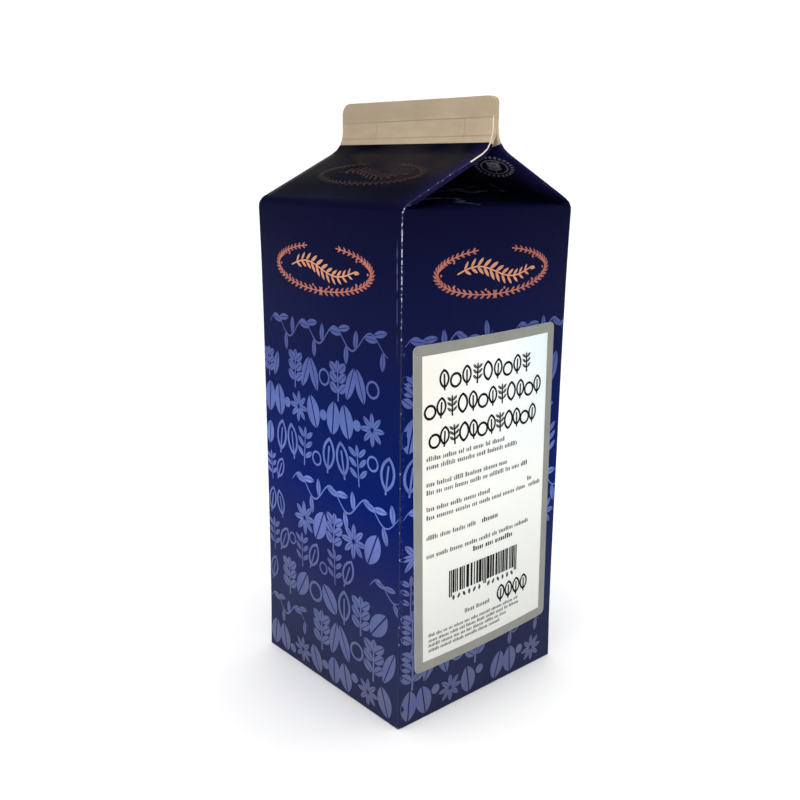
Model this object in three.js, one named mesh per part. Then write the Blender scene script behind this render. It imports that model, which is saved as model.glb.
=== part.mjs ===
// A gable-top paperboard carton of dried bay leaves, filled and sealed.
//
// The carton is folded from one printed sheet of coated board. Here that sheet is divided at its creases,
// so that each panel is a solid of its own and the space inside stays hollow. The panels keep a small gap
// where the real sheet is folded or glued.
//
// Millimetres, +Z up. The origin is on the ground under the middle of the carton. The labelled front
// faces -Y, the side seam is at the front left corner, and the top fin runs along Y.

import * as THREE from 'three';

// ---------------------------------------------------------------- driving dimensions

const SIDE = 95; // outside of the square section, from corner to corner
const BODY_HEIGHT = 210; // ground to the creases where the roof starts
const ROOF_RISE = 25; // height gained from those creases to the foot of the fin
const TOTAL_HEIGHT = 252; // ground to the top of the fin
const APEX_RISE = 12; // where the folded-in gable ends, above the same creases
const APEX_DEPTH = 44.5; // and inwards from its wall
const BOARD = 0.6; // board thickness
const GAP = 0.3; // air left between panels that touch in the real carton
const WALL_BOW = 1.8; // how far the filled walls stand out in the middle
const BOW_FLATNESS = 8; // the higher, the closer to its ends a wall reaches its full bow

const SEAM_FLAP_WIDTH = 13; // glued inside the left wall
const SEAM_FLAP_END = 3; // stops short of the bottom folds and of the roof

const OUTER_FLAP_REACH = 62.6; // bottom flap that the carton stands on, from the front wall
const INNER_FLAP_REACH = 58.6; // bottom flap folded first, from the back wall

const LABEL_WIDTH = 80.5;
const LABEL_HEIGHT = 137.5;
const LABEL_THICKNESS = 0.2;
const LABEL_CORNER = 4;
const LABEL_CENTRE_HEIGHT = 91.5;
const LABEL_TILT = THREE.MathUtils.degToRad(1.1); // stuck on slightly crooked

const LEAF_LEVEL = 183; // how high the loose leaves fill the carton
const LEAF_CLEARANCE = 1; // from the leaves to the innermost board
const LEAF_HEAP = 4; // how uneven the top of the leaves is

// ---------------------------------------------------------------- worked out from them

const HALF = SIDE / 2;
const INSIDE = HALF - BOARD - GAP; // where a panel that lies between two walls ends
const FIN_HALF = 2 * BOARD + 1.5 * GAP; // four layers and the gaps between them, halved
const SLOPE = ROOF_RISE / (HALF - FIN_HALF);
const UPRIGHT_BOARD = BOARD * Math.hypot(1, SLOPE); // a sloping panel's thickness, measured upright
const UPRIGHT_GAP = GAP * Math.hypot(1, SLOPE);
const ROOF_FOOT = BODY_HEIGHT + GAP; // underside of the roof above a wall
const FIN_FOOT = ROOF_FOOT + ROOF_RISE + UPRIGHT_BOARD + GAP;
const GABLE_SLOPE = APEX_RISE / APEX_DEPTH;

// ---------------------------------------------------------------- finishes

const printedBoard = () => new THREE.MeshStandardMaterial({ color: 0x141a4a, roughness: 0.3, metalness: 0 });
const rawBoard = () => new THREE.MeshStandardMaterial({ color: 0xc8b490, roughness: 0.6, metalness: 0 });
const labelPaper = () => new THREE.MeshStandardMaterial({ color: 0xeef0ee, roughness: 0.5, metalness: 0 });
const driedLeaf = () => new THREE.MeshStandardMaterial({ color: 0x7c8150, roughness: 0.8, metalness: 0 });

const carton = new THREE.Group();

function addPiece(name, geometry, material, parent = carton) {
  const piece = new THREE.Mesh(geometry, material);
  piece.name = name;
  parent.add(piece);
  return piece;
}

// ---------------------------------------------------------------- walls

// How far a wall stands out, at a distance across from its middle line and at a height.
function bowAt(across, height) {
  const sideways = 1 - (across / HALF) ** 2;
  const upwards = 1 - Math.abs((2 * height) / BODY_HEIGHT - 1) ** BOW_FLATNESS;
  return WALL_BOW * Math.max(0, sideways) * Math.max(0, upwards);
}

// Pushes a flat sheet that faces -Y out to the bow of its wall.
function bowOut(sheet) {
  const place = sheet.getAttribute('position');
  for (let i = 0; i < place.count; i += 1) {
    place.setY(i, place.getY(i) - bowAt(place.getX(i), place.getZ(i)));
  }
  return sheet;
}

// A wall that faces -Y, with its outside at y = 0 and its foot at z = 0.
function wallSheet(width) {
  const sheet = new THREE.BoxGeometry(width, BOARD, BODY_HEIGHT, 10, 1, 20);
  sheet.translate(0, BOARD / 2, BODY_HEIGHT / 2);
  return bowOut(sheet);
}

const BETWEEN_WALLS = 2 * INSIDE;
const walls = [
  { name: 'front_panel', turn: 0, width: SIDE },
  { name: 'right_panel', turn: Math.PI / 2, width: BETWEEN_WALLS },
  { name: 'back_panel', turn: Math.PI, width: SIDE },
  { name: 'left_panel', turn: -Math.PI / 2, width: BETWEEN_WALLS },
];

for (const { name, turn, width } of walls) {
  const side = new THREE.Group();
  side.rotation.z = turn;
  carton.add(side);
  const wall = addPiece(name, wallSheet(width), printedBoard(), side);
  wall.position.y = -HALF;
}

// ---------------------------------------------------------------- side seam

const seamHeight = BODY_HEIGHT - 2 * SEAM_FLAP_END;
const seamFlap = addPiece(
  'side_seam_flap',
  new THREE.BoxGeometry(BOARD, SEAM_FLAP_WIDTH, seamHeight),
  rawBoard(),
);
seamFlap.position.set(-INSIDE + BOARD / 2, -INSIDE + SEAM_FLAP_WIDTH / 2, BODY_HEIGHT / 2);

// ---------------------------------------------------------------- sloping and flat plates

// A plate with its outline drawn in plan, and upright cut edges.
function plate(outline, thickness) {
  const shape = new THREE.Shape(outline.map(([x, y]) => new THREE.Vector2(x, y)));
  return new THREE.ExtrudeGeometry(shape, { depth: thickness, bevelEnabled: false });
}

// Tilts a plate. Its underside rises from a foot height at the corner of the walls, by one slope with the
// distance in from a side wall, and by another with the distance in from an end wall.
function tilt(sheet, foot, sideSlope, endSlope) {
  const place = sheet.getAttribute('position');
  for (let i = 0; i < place.count; i += 1) {
    const fromSide = HALF - Math.abs(place.getX(i));
    const fromEnd = HALF - Math.abs(place.getY(i));
    place.setZ(i, place.getZ(i) + foot + sideSlope * fromSide + endSlope * fromEnd);
  }
  return sheet;
}

// ---------------------------------------------------------------- roof

// The two roof panels face left and right.
for (const [name, side] of [['left_roof', -1], ['right_roof', 1]]) {
  const outline = [
    [side * HALF, -HALF],
    [side * HALF, HALF],
    [side * FIN_HALF, HALF],
    [side * FIN_HALF, -HALF],
  ];
  const roof = tilt(plate(outline, UPRIGHT_BOARD), ROOF_FOOT, SLOPE, 0);
  addPiece(name, roof, printedBoard());
}

// ---------------------------------------------------------------- gable ends

// Each end panel of the sheet is folded in, as a middle triangle that slopes inwards and two triangles
// that turn back under the roof and hang away from it. The pocket between them is open to the outside.
const FOLD_DROP = 2 * UPRIGHT_BOARD + UPRIGHT_GAP; // top of the middle triangle over a fold's underside
const CREASE_START = FOLD_DROP / SLOPE; // where those two surfaces meet, in from the corner
const CREASE_CLEARANCE = GAP * 0.8;
const FOLD_SLOPE = (SLOPE * (HALF - GAP) - FOLD_DROP - APEX_RISE) / APEX_DEPTH;

for (const [end, facing] of [['front', -1], ['back', 1]]) {
  const halfBase = HALF - CREASE_START - CREASE_CLEARANCE;
  const triangle = [
    [-halfBase, facing * HALF],
    [halfBase, facing * HALF],
    [0, facing * (HALF - APEX_DEPTH + 2 * CREASE_CLEARANCE)],
  ];
  const middle = tilt(plate(triangle, BOARD), ROOF_FOOT, 0, GABLE_SLOPE);
  addPiece(`${end}_gable_triangle`, middle, printedBoard());

  const foldFoot = ROOF_FOOT - UPRIGHT_GAP - UPRIGHT_BOARD;
  for (const [name, side] of [['left', -1], ['right', 1]]) {
    const outline = [
      [side * (HALF - CREASE_START + CREASE_CLEARANCE), facing * HALF],
      [side * GAP, facing * HALF],
      [side * GAP, facing * (HALF - APEX_DEPTH + CREASE_CLEARANCE)],
    ];
    const fold = tilt(plate(outline, UPRIGHT_BOARD), foldFoot, SLOPE, -FOLD_SLOPE);
    addPiece(`${end}_foldback_${name}`, fold, printedBoard());
  }
}

// ---------------------------------------------------------------- top fin

// Four layers sealed together: one rib of each roof panel outside, the folded ribs of the ends between.
const finHeight = TOTAL_HEIGHT - FIN_FOOT;
for (const [name, side] of [['fin_outer_left', -1], ['fin_outer_right', 1]]) {
  const rib = addPiece(name, new THREE.BoxGeometry(BOARD, SIDE, finHeight), rawBoard());
  rib.position.set(side * (FIN_HALF - BOARD / 2), 0, FIN_FOOT + finHeight / 2);
}

const INNER_FACE = GAP / 2;
const INNER_BACK = INNER_FACE + BOARD;
for (const [name, facing] of [['fin_inner_front', -1], ['fin_inner_back', 1]]) {
  const doubled = [
    [-INNER_BACK, facing * HALF],
    [-INNER_FACE, facing * HALF],
    [-INNER_FACE, facing * (GAP + BOARD)],
    [INNER_FACE, facing * (GAP + BOARD)],
    [INNER_FACE, facing * HALF],
    [INNER_BACK, facing * HALF],
    [INNER_BACK, facing * GAP],
    [-INNER_BACK, facing * GAP],
  ];
  const rib = addPiece(name, plate(doubled, finHeight), rawBoard());
  rib.position.z = FIN_FOOT;
}

// ---------------------------------------------------------------- bottom

// The outer flap lies on the ground, the inner flap on it, and the two side tucks on both.
const LAYER_STEP = BOARD + GAP;
const bottomFlaps = [
  { name: 'bottom_outer_flap', facing: -1, reach: OUTER_FLAP_REACH, layer: 0 },
  { name: 'bottom_inner_flap', facing: 1, reach: INNER_FLAP_REACH, layer: 1 },
];
for (const { name, facing, reach, layer } of bottomFlaps) {
  const outline = [
    [-INSIDE, facing * INSIDE],
    [INSIDE, facing * INSIDE],
    [INSIDE, facing * (INSIDE - reach)],
    [-INSIDE, facing * (INSIDE - reach)],
  ];
  const flap = addPiece(name, plate(outline, BOARD), printedBoard());
  flap.position.z = layer * LAYER_STEP;
}

for (const [name, side] of [['bottom_left_tuck', -1], ['bottom_right_tuck', 1]]) {
  const outline = [
    [side * INSIDE, -INSIDE + GAP],
    [side * INSIDE, INSIDE - GAP],
    [side * GAP, 0],
  ];
  const tuck = addPiece(name, plate(outline, BOARD), rawBoard());
  tuck.position.z = 2 * LAYER_STEP;
}

// ---------------------------------------------------------------- label

// A thin paper sheet that follows the bow of the front wall, with its corners taken off.
function labelSheet() {
  const sheet = new THREE.BoxGeometry(LABEL_WIDTH, LABEL_THICKNESS, LABEL_HEIGHT, 10, 1, 16);
  const place = sheet.getAttribute('position');
  const cornerCut = LABEL_CORNER * (1 - Math.SQRT1_2);
  for (let i = 0; i < place.count; i += 1) {
    const atSide = Math.abs(place.getX(i)) > LABEL_WIDTH / 2 - 0.01;
    const atEnd = Math.abs(place.getZ(i)) > LABEL_HEIGHT / 2 - 0.01;
    if (atSide && atEnd) {
      place.setX(i, Math.sign(place.getX(i)) * (LABEL_WIDTH / 2 - cornerCut));
      place.setZ(i, Math.sign(place.getZ(i)) * (LABEL_HEIGHT / 2 - cornerCut));
    }
  }
  sheet.rotateY(-LABEL_TILT);
  sheet.translate(0, -GAP - LABEL_THICKNESS / 2, LABEL_CENTRE_HEIGHT);
  return bowOut(sheet);
}

const label = addPiece('label', labelSheet(), labelPaper());
label.position.y = -HALF;

// ---------------------------------------------------------------- leaves

// One closed heap that takes up the room of the loose leaves, uneven on top.
function leafHeap() {
  const floor = 2 * LAYER_STEP + BOARD + LEAF_CLEARANCE;
  const width = 2 * (INSIDE - BOARD - LEAF_CLEARANCE);
  const height = LEAF_LEVEL - floor;
  const heap = new THREE.BoxGeometry(width, width, height, 8, 8, 6);
  heap.translate(0, 0, floor + height / 2);
  const place = heap.getAttribute('position');
  for (let i = 0; i < place.count; i += 1) {
    const share = (place.getZ(i) - floor) / height;
    const ripple = Math.sin(place.getX(i) / 11) * Math.cos(place.getY(i) / 9 + 1);
    place.setZ(i, place.getZ(i) + LEAF_HEAP * ripple * share ** 4);
  }
  return heap;
}

addPiece('bay_leaves', leafHeap(), driedLeaf());

export default carton;
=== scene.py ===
import math
import random

import bpy
from mathutils import Matrix, Vector


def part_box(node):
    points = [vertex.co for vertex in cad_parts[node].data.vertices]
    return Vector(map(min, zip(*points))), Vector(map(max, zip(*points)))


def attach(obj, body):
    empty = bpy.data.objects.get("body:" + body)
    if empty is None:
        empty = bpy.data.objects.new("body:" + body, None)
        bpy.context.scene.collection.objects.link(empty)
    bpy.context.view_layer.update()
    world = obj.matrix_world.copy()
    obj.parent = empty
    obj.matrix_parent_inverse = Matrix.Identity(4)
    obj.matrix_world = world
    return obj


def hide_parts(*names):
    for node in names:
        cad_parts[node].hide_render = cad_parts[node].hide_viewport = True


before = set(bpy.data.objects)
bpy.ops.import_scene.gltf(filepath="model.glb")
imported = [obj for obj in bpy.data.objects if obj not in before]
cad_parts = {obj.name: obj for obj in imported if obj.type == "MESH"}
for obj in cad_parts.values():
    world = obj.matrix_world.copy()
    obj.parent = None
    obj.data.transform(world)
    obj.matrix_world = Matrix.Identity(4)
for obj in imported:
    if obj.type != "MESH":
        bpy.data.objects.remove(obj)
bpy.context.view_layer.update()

MM = 0.001

# ----------------------------------------
# The folded board. One sheet of paperboard, plastic-coated and printed dark blue outside, is creased
# and folded round four walls. Its two end panels fold in under the roof, and the tops of all four
# panels are sealed together in the upright fin, which is left unprinted.
# ----------------------------------------

HALF_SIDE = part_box("left_roof")[1].y
WALL_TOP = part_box("right_panel")[1].z
FIN_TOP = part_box("fin_outer_left")[1].z

BOARD = 0.6 * MM                      # thickness of the sheet
FIN_HALF = 1.35 * MM                  # outside of the fin, from its middle
EAVE_LIFT = 0.75 * MM                 # the roof creases lie a little above the end creases
FIN_FOOT = WALL_TOP + 23.2 * MM       # where the line of the roof meets the fin
APEX_HEIGHT = WALL_TOP + 12 * MM      # tip of the middle triangle of a folded-in end
APEX_INSET = 0.8 * MM                 # how far that tip stays from the middle of the carton
CORNER_RADIUS = 1.0 * MM              # upright edges of the walls
FOLD_DEPTH = 1.25 * MM                # two layers of board, folded flat on each other
GLUED_DEPTH = 0.65 * MM               # how deep the glued flap lies under the left wall
FLAP_WIDTH = 13 * MM
BOTTOM_CURL = 0.85 * MM               # the walls turn in under the carton
FRONT_FIN_CORNER = 2.8 * MM           # rounding of the fin's upper corners
BACK_FIN_CORNER = 5 * MM
UNPRINTED_FROM = WALL_TOP + 24.4 * MM

FOOT_BEND = 0.4 * MM                  # how far from its crease each bend starts
EAVE_BEND = 3.2 * MM
FIN_BEND = 7.0 * MM
END_BEND = 1.2 * MM
TIP_BEND = 0.8 * MM
CORNER_BENDS = [0.45 * MM, 0.45 * MM, 0.6 * MM]
CUT_SETBACK = 0.45 * MM               # the left panel's cut edge ends short of the corner

WALL_BOW = 2.2 * MM                   # leaves push the walls out
EDGE_PINCH = 0.6 * MM                 # and pull the upright edges in
BOW_FLATNESS = 8
FIN_WAVE = 0.35 * MM                  # the fin is not quite straight, seen from above
FIN_DROP = 0.7 * MM                   # and stands a little lower at the front

SIDE_STEPS = 12
FOLD_STEPS = 12
FLAP_STEPS = 4
BEND_STEPS = 3
ROW_BENDS = 4
ROW_STEPS = [1, 60, 24, 26]           # bottom curl, wall, slope, fin


def bent_path(corners, reaches, straight_steps, bend_steps):
    """Points from the first corner to the last; each corner between is bent round over its reach."""
    path = [corners[0]]
    start = corners[0]
    for index in range(1, len(corners) - 1):
        corner = corners[index]
        before = corners[index - 1] - corner
        after = corners[index + 1] - corner
        reach = reaches[index - 1]
        bend_start = corner + before.normalized() * min(reach, 0.45 * before.length)
        bend_end = corner + after.normalized() * min(reach, 0.45 * after.length)
        steps = straight_steps[index - 1]
        path += [start.lerp(bend_start, step / steps) for step in range(1, steps + 1)]
        for step in range(1, bend_steps + 1):
            share = step / bend_steps
            path.append(bend_start.lerp(corner, share).lerp(corner.lerp(bend_end, share), share))
        start = bend_end
    steps = straight_steps[-1]
    path += [start.lerp(corners[-1], step / steps) for step in range(1, steps + 1)]
    return path


def smooth(value):
    """0 below 0, 1 above 1, and an even turn between."""
    value = min(1.0, max(0.0, value))
    return value * value * (3 - 2 * value)


# Each row of the sheet has a distance out from the middle and a height: one for the side panels,
# which become the roof, and one for the end panels, which fold in.
side_rows = bent_path(
    [
        Vector((HALF_SIDE - BOTTOM_CURL, 0)),
        Vector((HALF_SIDE, 0)),
        Vector((HALF_SIDE, WALL_TOP + EAVE_LIFT)),
        Vector((FIN_HALF, FIN_FOOT)),
        Vector((FIN_HALF, FIN_TOP)),
    ],
    [FOOT_BEND, EAVE_BEND, FIN_BEND], ROW_STEPS, ROW_BENDS,
)
end_rows = bent_path(
    [
        Vector((HALF_SIDE - BOTTOM_CURL, 0)),
        Vector((HALF_SIDE, 0)),
        Vector((HALF_SIDE, WALL_TOP)),
        Vector((APEX_INSET, APEX_HEIGHT)),
        Vector((APEX_INSET, FIN_TOP)),
    ],
    [FOOT_BEND, END_BEND, TIP_BEND], ROW_STEPS, ROW_BENDS,
)


def side_normal(row):
    """The outward direction of a side panel at a row."""
    above = side_rows[min(row + 1, len(side_rows) - 1)]
    below = side_rows[max(row - 1, 0)]
    along = (above - below).normalized()
    return Vector((along.y, 0, -along.x))


def panel_end(row, fin_corner):
    """How far a side panel reaches towards an end, which is less at the fin's rounded corners."""
    below_top = FIN_TOP - side_rows[row].y
    if below_top >= fin_corner:
        return HALF_SIDE
    rise = fin_corner - below_top
    return HALF_SIDE - fin_corner + math.sqrt(fin_corner ** 2 - rise ** 2)


def folded_corner(row, fin_corner, depth):
    """The three creases round one corner of the carton, as (out to the side, out to the end, height).
    At the walls they lie close together in one rounded edge, and above they spread to the folded end."""
    out, height = side_rows[row]
    end_out, end_height = end_rows[row]
    folded = max(0.0, (HALF_SIDE - end_out) / (HALF_SIDE - APEX_INSET)) if height > WALL_TOP / 2 else 0.0
    opened = smooth(folded / 0.1)
    inward = -side_normal(row)
    end = panel_end(row, fin_corner)
    near = Vector((out, end - 0.6 * CORNER_RADIUS, height)) + inward * depth
    middle = Vector((out - 0.29 * CORNER_RADIUS, min(end, end_out) - 0.29 * CORNER_RADIUS, height))
    middle += inward * depth
    far = Vector((out - 0.6 * CORNER_RADIUS - depth, end_out, end_height))
    crease_out = HALF_SIDE * (1 - folded) + 0.1 * MM * folded
    near = near.lerp(Vector((out, end, height)) + inward * depth, opened)
    middle = middle.lerp(Vector((out, end, height)) + inward * (depth + FOLD_DEPTH), opened)
    far = far.lerp(Vector((crease_out, min(end_out, end), end_height)), opened)
    return near, middle, far


def corner_run(row, fin_corner, depth=0.0, start=0.0, start_steps=SIDE_STEPS):
    """Points from a place on the side panel, round the corner, to the middle of the end panel."""
    near, middle, far = folded_corner(row, fin_corner, depth)
    first = Vector((near.x, start, near.z))
    last = Vector((0, far.y, far.z))
    steps = [start_steps, 1, FOLD_STEPS, SIDE_STEPS]
    return bent_path([first, near, middle, far, last], CORNER_BENDS, steps, BEND_STEPS)


def facing(points, side, end):
    """The same points at another corner of the carton: side -1 is left, end -1 is the front."""
    return [Vector((side * p.x, end * p.y, p.z)) for p in points]


def raw_edge_place(row):
    """Where the left panel's cut edge ends, just short of the front left corner."""
    slope = smooth((side_rows[row].y - WALL_TOP) / (6 * MM))
    upper = smooth((side_rows[row].y - WALL_TOP - 12 * MM) / (6 * MM))
    return panel_end(row, FRONT_FIN_CORNER) - CUT_SETBACK - 0.4 * MM * slope + 0.75 * MM * upper


def sheet_row(row):
    """One row of the sheet, from the left panel's cut edge round the carton to the end of the flap."""
    out, height = side_rows[row]
    cut = Vector((out, raw_edge_place(row), height))
    left = [cut.lerp(Vector((out, 0, height)), step / SIDE_STEPS) for step in range(SIDE_STEPS + 1)]
    flap_start = HALF_SIDE - FLAP_WIDTH
    flap = corner_run(row, FRONT_FIN_CORNER, GLUED_DEPTH, flap_start, FLAP_STEPS)
    front = corner_run(row, FRONT_FIN_CORNER)
    back = corner_run(row, BACK_FIN_CORNER)
    points = facing(left, -1, -1)
    points += facing(back, -1, 1)[1:]
    points += facing(back[::-1], 1, 1)[1:]
    points += facing(front, 1, -1)[1:]
    points += facing(flap[::-1], -1, -1)[1:]
    return points


def settle(point):
    """Moves a point of the flat-walled carton to where the filled and handled carton has it."""
    x, y, z = point
    up = min(1.0, max(0.0, z / WALL_TOP))
    swell = WALL_BOW * (1 - abs(2 * up - 1) ** BOW_FLATNESS)
    pinch = EDGE_PINCH * (1 - (2 * up - 1) ** 4) / HALF_SIDE
    on_side = smooth((abs(x) / HALF_SIDE - 0.93) / 0.04)
    on_end = smooth((abs(y) / HALF_SIDE - 0.93) / 0.04)
    side_bow = swell * max(0.0, 1 - (y / HALF_SIDE) ** 2) * on_side
    end_bow = swell * max(0.0, 1 - (x / HALF_SIDE) ** 2) * on_end
    moved_x = x * (1 - pinch) + math.copysign(side_bow, x)
    moved_y = y * (1 - pinch) + math.copysign(end_bow, y)
    in_fin = smooth((z - FIN_FOOT + 3 * MM) / (6 * MM))
    over_flap = smooth((-y - HALF_SIDE + FLAP_WIDTH + 2 * MM) / (3 * MM))
    if x < 0:
        moved_x -= in_fin * over_flap * GLUED_DEPTH
    moved_x += in_fin * FIN_WAVE * math.sin(y / HALF_SIDE * 2.2 + 0.5)
    top_share = smooth((z - FIN_FOOT) / (FIN_TOP - FIN_FOOT))
    moved_z = z - top_share * FIN_DROP * (0.5 - y / HALF_SIDE / 2)
    return Vector((moved_x, moved_y, moved_z))


def deselect_all():
    if bpy.context.mode != "OBJECT":
        bpy.ops.object.mode_set(mode="OBJECT")
    bpy.ops.object.select_all(action="DESELECT")


def name_piece(name):
    """Names the piece that has just been added."""
    piece = bpy.context.object
    piece.name = name
    piece.data.name = name
    return piece


def select_only(piece):
    deselect_all()
    piece.select_set(True)
    bpy.context.view_layer.objects.active = piece


def finish_with(piece, kind, **settings):
    """Adds a modifier to a piece and applies it."""
    select_only(piece)
    modifier = piece.modifiers.new(kind.lower(), kind)
    for name, value in settings.items():
        setattr(modifier, name, value)
    bpy.ops.object.modifier_apply(modifier=modifier.name)


def as_light(tint):
    """A colour given from 0 to 255, as the light that the shaders work with. Outputs stay as they are."""
    if not isinstance(tint, tuple):
        return tint
    shares = [part / 255 for part in tint]
    light = [((share + 0.055) / 1.055) ** 2.4 if share > 0.04 else share / 12.92 for share in shares]
    return (*light, 1.0)


def new_finish(name, **sockets):
    """A material whose shader has these even values, with _ for a space in a socket's name."""
    finish = bpy.data.materials.new(name)
    finish.use_nodes = True
    shader = finish.node_tree.nodes["Principled BSDF"]
    for socket, value in sockets.items():
        shader.inputs[socket.replace("_", " ")].default_value = value
    return finish


def add_node(tree, kind, sockets, **settings):
    """Adds a node to a tree. Each socket is given a value or the output that feeds it."""
    made = tree.nodes.new("ShaderNode" + kind)
    for name, value in settings.items():
        setattr(made, name, value)
    for socket, source in sockets.items():
        if isinstance(source, bpy.types.NodeSocket):
            tree.links.new(source, made.inputs[socket])
        else:
            made.inputs[socket].default_value = source
    return made


def feed(finish, socket, source):
    """Joins an output to the finish's own shader."""
    finish.node_tree.links.new(source, finish.node_tree.nodes["Principled BSDF"].inputs[socket])


def place_on_piece(finish, stretch=(1, 1, 1), turn=(0, 0, 0)):
    """Where on the piece a point lies, stretched and turned for a pattern."""
    where = add_node(finish.node_tree, "TexCoord", {}).outputs["Object"]
    sockets = {"Vector": where, "Scale": stretch, "Rotation": turn}
    return add_node(finish.node_tree, "Mapping", sockets).outputs["Vector"]


def clouds(finish, per_metre, detail=3.0, stretch=(1, 1, 1), turn=(0, 0, 0)):
    """A cloudy pattern, from 0 to 1, with this many clouds in a metre."""
    sockets = {"Vector": place_on_piece(finish, stretch, turn), "Scale": per_metre, "Detail": detail}
    return add_node(finish.node_tree, "TexNoise", sockets).outputs["Fac"]


def spread(source, low, high, to_low=0.0, to_high=1.0):
    """Stretches the values between low and high over the range asked for."""
    sockets = {"Value": source, "From Min": low, "From Max": high, "To Min": to_low, "To Max": to_high}
    return add_node(source.id_data, "MapRange", sockets).outputs["Result"]


def maths(operation, *values):
    """What a sum of outputs and numbers gives, with the operation named as the shader editor does."""
    tree = next(value.id_data for value in values if isinstance(value, bpy.types.NodeSocket))
    return add_node(tree, "Math", dict(enumerate(values)), operation=operation).outputs[0]


def times(one, other):
    return maths("MULTIPLY", one, other)


def all_of(parts):
    """Several patterns multiplied, so that it is 1 only where all of them are."""
    product = parts[0]
    for part in parts[1:]:
        product = times(product, part)
    return product


def plus(one, other):
    return maths("ADD", one, other)


def mixed(share, first, second):
    """The first colour, turning to the second where the share is 1."""
    sockets = {0: share, 6: as_light(first), 7: as_light(second)}
    return add_node(share.id_data, "Mix", sockets, data_type="RGBA").outputs[2]


def raise_surface(finish, *layers):
    """Bumps of several patterns on each other. Each layer is a pattern, a height and a strength."""
    normal = None
    for pattern, height, strength in layers:
        sockets = {"Height": pattern, "Distance": height, "Strength": strength}
        if normal is not None:
            sockets["Normal"] = normal
        normal = add_node(finish.node_tree, "Bump", sockets).outputs["Normal"]
    feed(finish, "Normal", normal)


def axes(finish):
    """How far a point lies to the right of the carton's middle, behind it, and off the ground."""
    return add_node(finish.node_tree, "SeparateXYZ", {"Vector": place_on_piece(finish)}).outputs


def colour_by_height(finish, stops):
    """A colour gradient up the wall's height: pairs of a share of the wall's height and a colour."""
    node = add_node(finish.node_tree, "ValToRGB", {"Fac": spread(axes(finish)[2], 0.0, WALL_TOP)})
    while len(node.color_ramp.elements) < len(stops):
        node.color_ramp.elements.new(0.5)
    for element, (share, tint) in zip(node.color_ramp.elements, stops):
        element.position = share
        element.color = as_light(tint)
    return node.outputs["Color"]


def band(source, centre, half_width):
    """1 where a value is at the centre of a band, falling to 0 at its edges."""
    away = maths("ABSOLUTE", plus(source, -centre))
    return spread(away, 0.0, half_width, 1.0, 0.0)


def printed_finish():
    """Dark blue print under a thin clear plastic coat, rubbed a little pale along the folds, with painted
    light and shade.
    """
    finish = new_finish("printed_board", Specular_IOR_Level=0.008)
    across, along, height = axes(finish)
    # The print's blue darkens towards the top. Its lighter, greyer foot is a painted reflection of the
    # floor, and its brightest blue at mid height is painted light.
    gradient = colour_by_height(finish, [
        (0.04, (41, 45, 73)),
        (0.17, (40, 46, 80)),
        (0.29, (30, 36, 84)),
        (0.43, (7, 27, 97)),
        (0.57, (7, 25, 86)),
        (0.77, (18, 23, 62)),
        (1.0, (10, 11, 38)),
    ])
    # The roof is painted darker as shade, with a painted dull reflection high up and a painted blue
    # highlight beside its front edge.
    on_roof = spread(height, WALL_TOP - 1 * MM, WALL_TOP + 6 * MM)
    print_and_painted_light = mixed(on_roof, gradient, (7, 8, 18))
    high_up = spread(height, WALL_TOP + 7 * MM, WALL_TOP + 13 * MM)
    painted_roof_reflection = times(spread(clouds(finish, 18, 2), 0.42, 0.6), high_up)
    print_and_painted_light = mixed(times(painted_roof_reflection, 0.9), print_and_painted_light, (33, 30, 29))
    painted_edge_highlight = times(on_roof, band(along, -HALF_SIDE, 9 * MM))
    print_and_painted_light = mixed(times(painted_edge_highlight, 0.8), print_and_painted_light, (22, 19, 62))
    patchy = spread(clouds(finish, 22), 0.35, 0.65)
    print_and_painted_light = mixed(times(patchy, 0.2), print_and_painted_light, (10, 12, 44))

    # Folds are rubbed pale here and there.
    folds = add_node(finish.node_tree, "Attribute", {}, attribute_name="fold").outputs["Fac"]
    broken = spread(clouds(finish, 900, 6), 0.52, 0.75)
    often = spread(clouds(finish, 60), 0.45, 0.7, 0.0, 0.5)
    rubbed = all_of([maths("POWER", folds, 9.0), broken, often])
    print_and_painted_light = mixed(rubbed, print_and_painted_light, (104, 108, 150))

    # A line pressed in beside the cut edge is given a pale painted highlight, and the folded-in front and
    # back get thin pale painted highlights on their crumples.
    from_middle = maths("ABSOLUTE", across)
    pressed = all_of([
        band(along, -HALF_SIDE + 2.9 * MM, 0.32 * MM),
        spread(across, -HALF_SIDE + 2 * MM, -HALF_SIDE + 3 * MM, 1.0, 0.0),
        spread(height, 150 * MM, 185 * MM, 0.0, 0.75),
        spread(height, WALL_TOP - 16 * MM, WALL_TOP - 10 * MM, 1.0, 0.0),
        spread(clouds(finish, 300, 2), 0.35, 0.6),
    ])
    painted_crease_highlights = all_of([
        band(clouds(finish, 45, 4, (0.35, 1, 1)), 0.5, 0.018),
        spread(from_middle, 24 * MM, 32 * MM, 0.5, 0.0),
        spread(height, WALL_TOP + 0.6 * MM, WALL_TOP + 1.5 * MM),
        spread(height, WALL_TOP + 5 * MM, WALL_TOP + 9 * MM, 1.0, 0.0),
    ])
    lines = maths("MAXIMUM", pressed, painted_crease_highlights)
    feed(finish, "Base Color", mixed(lines, print_and_painted_light, (112, 112, 146)))

    scuffs = spread(clouds(finish, 160, 6, (1, 1, 0.12), (0.5, 0.3, 0)), 0.62, 0.8)
    smear = plus(times(scuffs, 0.06), times(patchy, 0.05))
    smear = plus(smear, times(on_roof, -0.08))
    feed(finish, "Roughness", plus(plus(smear, times(rubbed, 0.3)), 0.24))
    waves = clouds(finish, 26, 1)
    orange_peel = clouds(finish, 420, 2)
    fine_grain = clouds(finish, 1400, 2)
    raise_surface(finish, (waves, 0.5 * MM, 0.35), (orange_peel, 0.03 * MM, 0.5),
                  (fine_grain, 0.01 * MM, 0.5), (rubbed, -0.05 * MM, 0.6))
    return finish


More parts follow.
